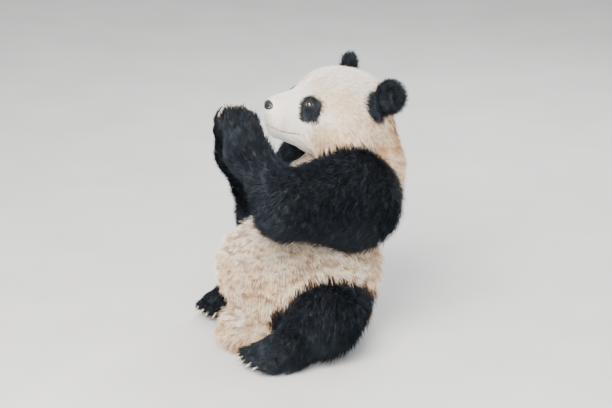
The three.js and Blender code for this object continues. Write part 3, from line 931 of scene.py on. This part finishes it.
def coat_colour(tree, jitter):
    """The coat's colour at a corner: cream, then rust on the body or grey on the head, then black. Lighter blue-grey
    patches on the black are partly painted sheen, and darker patches on the cream are partly painted shade between
    clumps.
    """
    inside = math_node(tree, "MULTIPLY_ADD", own_number(tree, "marking"), 0.5, 0.5)
    ragged = math_node(tree, "MULTIPLY_ADD", math_node(tree, "SUBTRACT", noise(tree, 70.0), 0.5), 0.30, inside)
    ragged = math_node(tree, "ADD", ragged, jitter)
    patchy = math_node(tree, "MULTIPLY_ADD", noise(tree, 13.0), 1.7, -0.25)
    straw = math_node(tree, "MULTIPLY", own_number(tree, "warm"), math_node(tree, "ADD", patchy, jitter))
    pale = ramp(tree, straw, (0.0, rgb(244, 239, 231)), (0.28, rgb(236, 216, 188)), (0.62, rgb(212, 175, 130)),
                (1.0, rgb(152, 106, 64)))
    # The black runs from near black to a lighter blue-grey: partly a random tone of the hair, partly painted sheen.
    black_and_sheen = ramp(tree, math_node(tree, "ADD", noise(tree, 62.0, 2.0, (1.0, 1.0, 0.6)), jitter),
                (0.36, rgb(7, 10, 14)), (0.55, rgb(19, 22, 27)), (0.74, rgb(48, 53, 60)))
    brown = ramp(tree, ragged, (0.60, rgb(66, 38, 30)), (0.92, rgb(14, 12, 14)))
    near_edge = ramp(tree, ragged, (0.6, white), (0.95, black))
    black_and_sheen = mixed(tree, math_node(tree, "MULTIPLY", own_number(tree, "rust"), near_edge), black_and_sheen, brown)
    rusty = ramp(tree, ragged, (0.38, white), (0.50, rgb(172, 132, 100)), (0.62, rgb(70, 46, 38)))
    sooty = ramp(tree, ragged, (0.36, white), (0.50, rgb(150, 142, 136)), (0.62, rgb(50, 46, 45)))
    edge = mixed(tree, own_number(tree, "rust"), sooty, rusty)
    # Darker patches on the cream, in horizontal rows on the body and finer on the head: partly a brownish tone of
    # the hair, partly painted shade between clumps and folds.
    clump_shade = ramp(tree, noise(tree, 34.0, 2.0, (1.0, 1.0, 2.2)), (0.34, rgb(186, 166, 152)), (0.56, white))
    small_clump_shade = ramp(tree, noise(tree, 75.0, 2.0), (0.34, rgb(204, 188, 170)), (0.54, white))
    small_clump_shade = mixed(tree, own_number(tree, "warm"), white, small_clump_shade)
    pale = mixed(tree, 1.0, pale, mixed(tree, own_number(tree, "rust"), small_clump_shade, clump_shade), "MULTIPLY")
    cream = mixed(tree, 1.0, pale, edge, "MULTIPLY")
    return mixed(tree, ramp(tree, ragged, (0.46, black), (0.66, white)), cream, black_and_sheen)


# %% Coat and skin materials
coat, tree = new_material("panda_coat", Roughness=0.5, Specular_IOR_Level=0.2, Specular_Tint=(0.75, 0.88, 1.0, 1.0))
dice = add(tree, "ShaderNodeSeparateXYZ", {0: own_number(tree, "dice", "Vector")}).outputs
hue = coat_colour(tree, math_node(tree, "MULTIPLY", dice[2], 0.09))
shade = math_node(tree, "MULTIPLY_ADD", own_number(tree, "along"), 0.42, 0.62)  # darker at its root
shade = math_node(tree, "MULTIPLY_ADD", dice[0], 0.12, shade)
shade = add(tree, "ShaderNodeCombineColor", {0: shade, 1: shade, 2: shade}).outputs[0]
finish(tree, mixed(tree, 1.0, hue, shade, "MULTIPLY"))

hide, tree = new_material("panda_skin", Roughness=0.75, Specular_IOR_Level=0.25)
hue = mixed(tree, 1.0, coat_colour(tree, 0.0), (0.62, 0.58, 0.54, 1.0), "MULTIPLY")
leather = ramp(tree, noise(tree, 90.0), (0.3, rgb(30, 26, 28)), (0.75, rgb(60, 52, 53)))
finish(tree, mixed(tree, own_number(tree, "bare"), hue, leather), noise(tree, 260.0, 4.0), Strength=0.5,
       Distance=0.002)
skin_mesh.materials.append(hide)
print("materials:", coat.name + ",", hide.name)

# %% [markdown]
# ## The coat grows
#
# One piece of coat for each part of the body keeps every piece small enough to bake. Where two parts meet,
# both grow, each by its share, so there is no line between them.

# %% Grow the coat
sockets = {item.name: item.identifier for item in coat_maker.interface.items_tree if item.in_out == "INPUT"}
joints, least_share, seam = 3, 0.03, 0.02


def grow(name, members, clump_size, clump_pull, stray, slot, side=0):
    """Grows the coat of some zones as one plain mesh, of the left or right half alone where side is 1 or -1."""
    here = shares[:, [zone_names.index(member) for member in members]].sum(1)
    here = here * np.clip(0.5 + side * points[:, 0] / seam, 0, 1) if side else here
    source = stand("growing", skin_mesh.copy())
    put(source.data, "here", np.where(here > least_share, here, 0))
    grower = source.modifiers.new("grow", "NODES")
    grower.node_group = coat_maker
    inputs = {"Joints": joints, "Seed": len(coats) + 1, "Clump Size": clump_size, "Clump Pull": clump_pull,
              "Stray": stray, "Material": coat}
    for key, value in inputs.items():
        grower[sockets[key]] = value
    source.update_tag()
    graph = bpy.context.evaluated_depsgraph_get()
    mesh = bpy.data.meshes.new_from_object(source.evaluated_get(graph))
    bpy.data.objects.remove(source)
    mesh.name = name
    for spare in ("lie", "hair_length", "hair_width", "hair_depth", "crowd", "here", "bare", "root_at",
                  "root_normal", "root_uv", "around", "id"):
        if spare in mesh.attributes:
            mesh.attributes.remove(mesh.attributes[spare])
    piece = stand(name, mesh)
    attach(piece, "root")
    coats.append(sum(len(polygon.vertices) - 2 for polygon in mesh.polygons))
    print(name + ":", coats[-1], "triangles")


coats = []  # how many triangles each piece of coat has
for name, *numbers in (
    ("face", ["nose_rim", "muzzle", "left_lids", "right_lids"], 0.008, 0.2, 0.15, "pale_fur"),
    ("skull", ["skull"], 0.014, 0.42, 0.2, "pale_fur"),
    ("cheeks", ["cheeks"], 0.017, 0.5, 0.22, "pale_fur"),
    ("ears", ["left_ear", "right_ear"], 0.010, 0.3, 0.55, "black_fur"),
    ("neck", ["neck"], 0.020, 0.45, 0.2, "pale_fur"),
    ("back", ["back"], 0.024, 0.45, 0.2, "pale_fur"),
    ("left_belly", ["belly"], 0.026, 0.5, 0.3, "pale_fur", 1),
    ("right_belly", ["belly"], 0.026, 0.5, 0.3, "pale_fur", -1),
    ("tail", ["tail"], 0.020, 0.5, 0.2, "pale_fur"),
):
    grow("coat_" + name, *numbers)
for limb in limbs.values():
    for part, *numbers in zip(limb["parts"], (0.022, 0.022, 0.012), (0.45, 0.5, 0.3), (0.33, 0.33, 0.15)):
        grow("coat_" + part, [part], *numbers, "black_fur")
print("coat:", sum(coats), "triangles in", len(coats), "pieces, the largest", max(coats))

# %% [markdown]
# ## Eyes
#
# A panda's eye is small for its head and sits deep. The iris is so dark a brown that its slit pupil can hardly be
# told from it, so a round dark middle stands for it here. A thin dark rim parts the iris from the white, which
# shows only in the corners. The ball is a sphere with a slight bulge over the iris. Its colour follows the angle
# from the gaze, kept as a number on the corners.

# %% Helper to make a piece from corners and faces
def piece_from(name, corners, faces, material, slot, *nodes):
    """A smooth mesh that rides with the body and stands for the named solids."""
    mesh = bpy.data.meshes.new(name)
    mesh.from_pydata([tuple(map(float, p)) for p in corners], [], [tuple(map(int, f)) for f in faces])
    mesh.polygons.foreach_set("use_smooth", np.ones(len(mesh.polygons), bool))
    mesh.materials.append(material)
    piece = stand(name, mesh)
    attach(piece, "root")
    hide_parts(*nodes)
    print(name + ":", len(mesh.vertices), "corners")
    return piece


# %% Eyes
iris_edge = 0.7  # radians from the gaze, where the white begins
bulge, bulge_angle, ball_fit = 0.05, 0.5, 0.985
gaze = unit(np.array([0.76, -0.63, 0.16]))
wet, tree = new_material("panda_eye", Roughness=0.12, Coat_Weight=1.0, Coat_Roughness=0.03)
rings = ramp(tree, math_node(tree, "MULTIPLY", own_number(tree, "off_gaze"), 1 / iris_edge),
             (0.0, rgb(6, 5, 5)), (0.25, rgb(8, 6, 5)), (0.29, rgb(44, 29, 21)), (0.66, rgb(30, 20, 15)),
             (0.84, rgb(16, 11, 9)), (0.92, rgb(70, 58, 52)), (1.0, rgb(140, 126, 118)))
fibres = ramp(tree, noise(tree, 900.0), (0.3, rgb(20, 14, 10)), (0.7, rgb(120, 96, 80)))
finish(tree, mixed(tree, 0.2, rings, fibres, "OVERLAY"))


def from_lowest(face):
    """A face's corners from its lowest number on, because Blender lists a sphere's faces anew each run."""
    start = face.index(min(face))
    return face[start:] + face[:start]


for side_name, side, eye in zip(("left", "right"), (1, -1), eyes_at):
    bm = bmesh.new()
    bmesh.ops.create_uvsphere(bm, u_segments=40, v_segments=30, radius=1.0)
    bm.verts.index_update()
    ball_points = np.array([v.co for v in bm.verts])
    ball_faces = sorted(from_lowest([v.index for v in face.verts]) for face in bm.faces)
    bm.free()
    off_gaze = np.arccos(np.clip(ball_points[:, 2], -1, 1))
    swollen = ball_points * (1 + bulge * np.exp(-(off_gaze / bulge_angle) ** 2))[:, None]
    level = unit(np.cross(gaze, (0.0, 0.0, 1.0)))
    axes = mirror(np.stack([level, np.cross(gaze, level), gaze]), side)
    ball_faces = ball_faces if np.linalg.det(axes) > 0 else [face[::-1] for face in ball_faces]
    eyeball = piece_from(side_name + "_eyeball", in_head(eye + swollen @ axes * eye_radius * ball_fit), ball_faces,
                         wet, "eye", side_name + "_eye")
    put(eyeball.data, "off_gaze", off_gaze)

# %% [markdown]
# ## Nose leather
#
# The nose is a bare, pebbled pad, broad on top, with comma-shaped nostrils and a groove that runs down to the
# lip. It is another field, with a net fine enough for the nostrils. The pebbles are bump only.

# %% Nose
nose_cell, nose_radii, nose_taper = 0.0014, mm(25.5, 16.2, 18), 0.28


def nose_field(p):
    x, y, z = p.T
    narrowed = x * (1 + nose_taper * np.clip(-z / 0.018, 0, 1))
    pad = egg(mm(0, 0, 0), nose_radii)(np.stack([narrowed, y, z], 1))
    pad = pad + 0.0016 * np.exp(-(x / 0.0013) ** 2) * np.clip((0.004 - z) / 0.004, 0, 1)  # the groove
    nostril = taper(mm(8.5, -15, -4), mm(17, -9.5, -1), 0.0034, 0.0022)(np.stack([np.abs(x), y, z], 1))
    return -blend(-pad, nostril, 0.003)


nose_corners, nose_faces = surface_net(nose_field, mm(-32, -32, -32), mm(32, 32, 32), nose_cell)
nose_corners = settle(evened(nose_corners, edges_of(nose_faces)), nose_field, 0.001)
pebbled, tree = new_material("nose_leather", Roughness=0.38)
at = add(tree, "ShaderNodeTexCoord").outputs["Object"]
pebbles = add(tree, "ShaderNodeTexVoronoi", {"Vector": at, "Scale": 620.0}).outputs["Distance"]
finish(tree, ramp(tree, noise(tree, 300.0), (0.3, rgb(13, 11, 12)), (0.75, rgb(32, 27, 27))), pebbles, invert=True,
       Strength=0.6, Distance=0.0006)
piece_from("nose_pad", in_head(nose_corners + nose_at), nose_faces, pebbled, "nose_leather", "nose")

# %% [markdown]
# ## Claws
#
# Each digit ends in a curved horn, thick at its root and flattened from side to side. A cone bent by hand would
# do for one; here one function sweeps a narrowing ring along a drooping line for all twenty.

# %% Claws
claw_length, claw_radius, claw_sunk, claw_droop, claw_flat = 0.030, 0.0062, 0.014, 0.008, 0.78


def horn(base, along, curl, rings=12, sides=14):
    """Corners and faces of one claw, closed at both ends."""
    across = np.cross(along, curl)
    turn = np.linspace(0, 2 * math.pi, sides, endpoint=False)
    corners, faces = [base], []
    for k in range(rings):
        t = k / rings
        middle = base + along * claw_length * t + curl * claw_droop * t * t
        radius = claw_radius * (1 - t) ** 0.75
        corners += [middle + radius * (claw_flat * math.cos(a) * across + math.sin(a) * curl) for a in turn]
    corners.append(base + along * claw_length + curl * claw_droop)
    for j in range(sides):
        after = (j + 1) % sides
        faces.append((0, 1 + after, 1 + j))
        for k in range(rings - 1):
            low, high = 1 + k * sides, 1 + (k + 1) * sides
            faces.append((low + j, low + after, high + after, high + j))
        faces.append((1 + (rings - 1) * sides + j, 1 + (rings - 1) * sides + after, len(corners) - 1))
    return corners, faces


keratin, tree = new_material("claw_horn", Roughness=0.32, Coat_Weight=0.25, Coat_Roughness=0.2)
growth = noise(tree, 160.0, 4.0, (1.0, 1.0, 0.35))
horn_colour = ramp(tree, growth, (0.30, rgb(98, 86, 72)), (0.5, rgb(158, 144, 124)), (0.72, rgb(198, 187, 168)))
finish(tree, horn_colour, growth, Strength=0.3, Distance=0.0006)
for limb in limbs.values():
    paw_name, corners, faces = limb["parts"][2], [], []
    for root, tip in digits(limb):
        along = unit(limb["aim"] + 0.2 * limb["sole"])
        curl = unit(limb["sole"] - (limb["sole"] @ along) * along)
        more, around = horn(tip + along * (limb["radii"]["digit"] - claw_sunk), along, curl)
        faces += [tuple(i + len(corners) for i in face) for face in around]
        corners += more
    piece_from(paw_name + "_claws", corners, faces, keratin, "claw_horn",
               *[paw_name + "_claw_" + str(number) for number in range(1, 6)])

# %% [markdown]
# ## Floor, light and camera
#
# A plain pale floor and soft light let the coat speak. The key light is broad and high, ahead and to the animal's
# left. A low one beside it fills the shade under the arms, and one behind lifts the black off the floor.

# %% Floor
floor_size = 14.0
bpy.ops.mesh.primitive_plane_add(size=floor_size)
floor = bpy.context.object
floor.name = "floor"
plain, tree = new_material("floor_paint", Roughness=0.8)
finish(tree, ramp(tree, noise(tree, 3.0), (0.3, rgb(186, 184, 180)), (0.7, rgb(194, 192, 188))))
floor.data.materials.append(plain)
print("floor:", floor_size, "m square")


# %% Light
def face_along(thing, way):
    """Turns a lamp or a camera to look along a direction."""
    thing.rotation_euler = Vector(way).to_track_quat("-Z", "Y").to_euler()


def soft_light(name, place, focus, power, size, colour):
    data = bpy.data.lights.new(name, "AREA")
    data.energy, data.size, data.color = power, size, colour
    light = stand(name, data)
    light.location = place
    face_along(light, Vector(focus) - Vector(place))


soft_light("key_light", (2.4, -1.8, 3.4), (0, 0, 0.4), 540, 2.4, (1.0, 0.98, 0.95))
soft_light("fill_light", (4.2, -1.4, 0.9), (0, 0, 0.3), 420, 2.8, (0.92, 0.96, 1.0))
soft_light("rim_light", (-2.2, 1.6, 3.0), (0, 0, 0.5), 160, 2.0, (0.95, 0.97, 1.0))
world = bpy.data.worlds.new("studio")
world.use_nodes = True
for key, value in dict(Color=(0.93, 0.96, 1.0, 1.0), Strength=1.1).items():
    world.node_tree.nodes["Background"].inputs[key].default_value = value
bpy.context.scene.world = world
print("lights: key, fill and rim, and the sky")


# %% Camera
frame_width, frame_height, pixels_per_metre, sensor_width = 612, 408, 310, 36
floor_column, floor_row = 303, 328  # where in the frame the middle of the floor under the body is seen


def look(azimuth, elevation, distance):
    """A camera that looks at the origin from an azimuth round the body and a height above the level."""
    a, e = math.radians(azimuth), math.radians(elevation)
    back = Vector((math.sin(a) * math.cos(e), -math.cos(a) * math.cos(e), math.sin(e)))
    camera = stand("camera", bpy.data.cameras.new("camera"))
    camera.location = back * distance
    face_along(camera, -back)
    camera.data.sensor_width = sensor_width
    camera.data.lens = sensor_width / (frame_width / pixels_per_metre / distance)
    camera.data.shift_x = (frame_width / 2 - floor_column) / frame_width
    camera.data.shift_y = (floor_row - frame_height / 2) / frame_width
    return camera


bpy.context.scene.camera = look(azimuth=74, elevation=22, distance=6.0)
print("lens:", round(bpy.context.scene.camera.data.lens, 1), "mm")

# %% The skin stands for all the flesh
flesh = [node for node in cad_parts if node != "nose" and "eye" not in node and "claw" not in node]
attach(skin, "root")
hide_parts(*flesh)
print("skin replaces", len(flesh), "nodes")
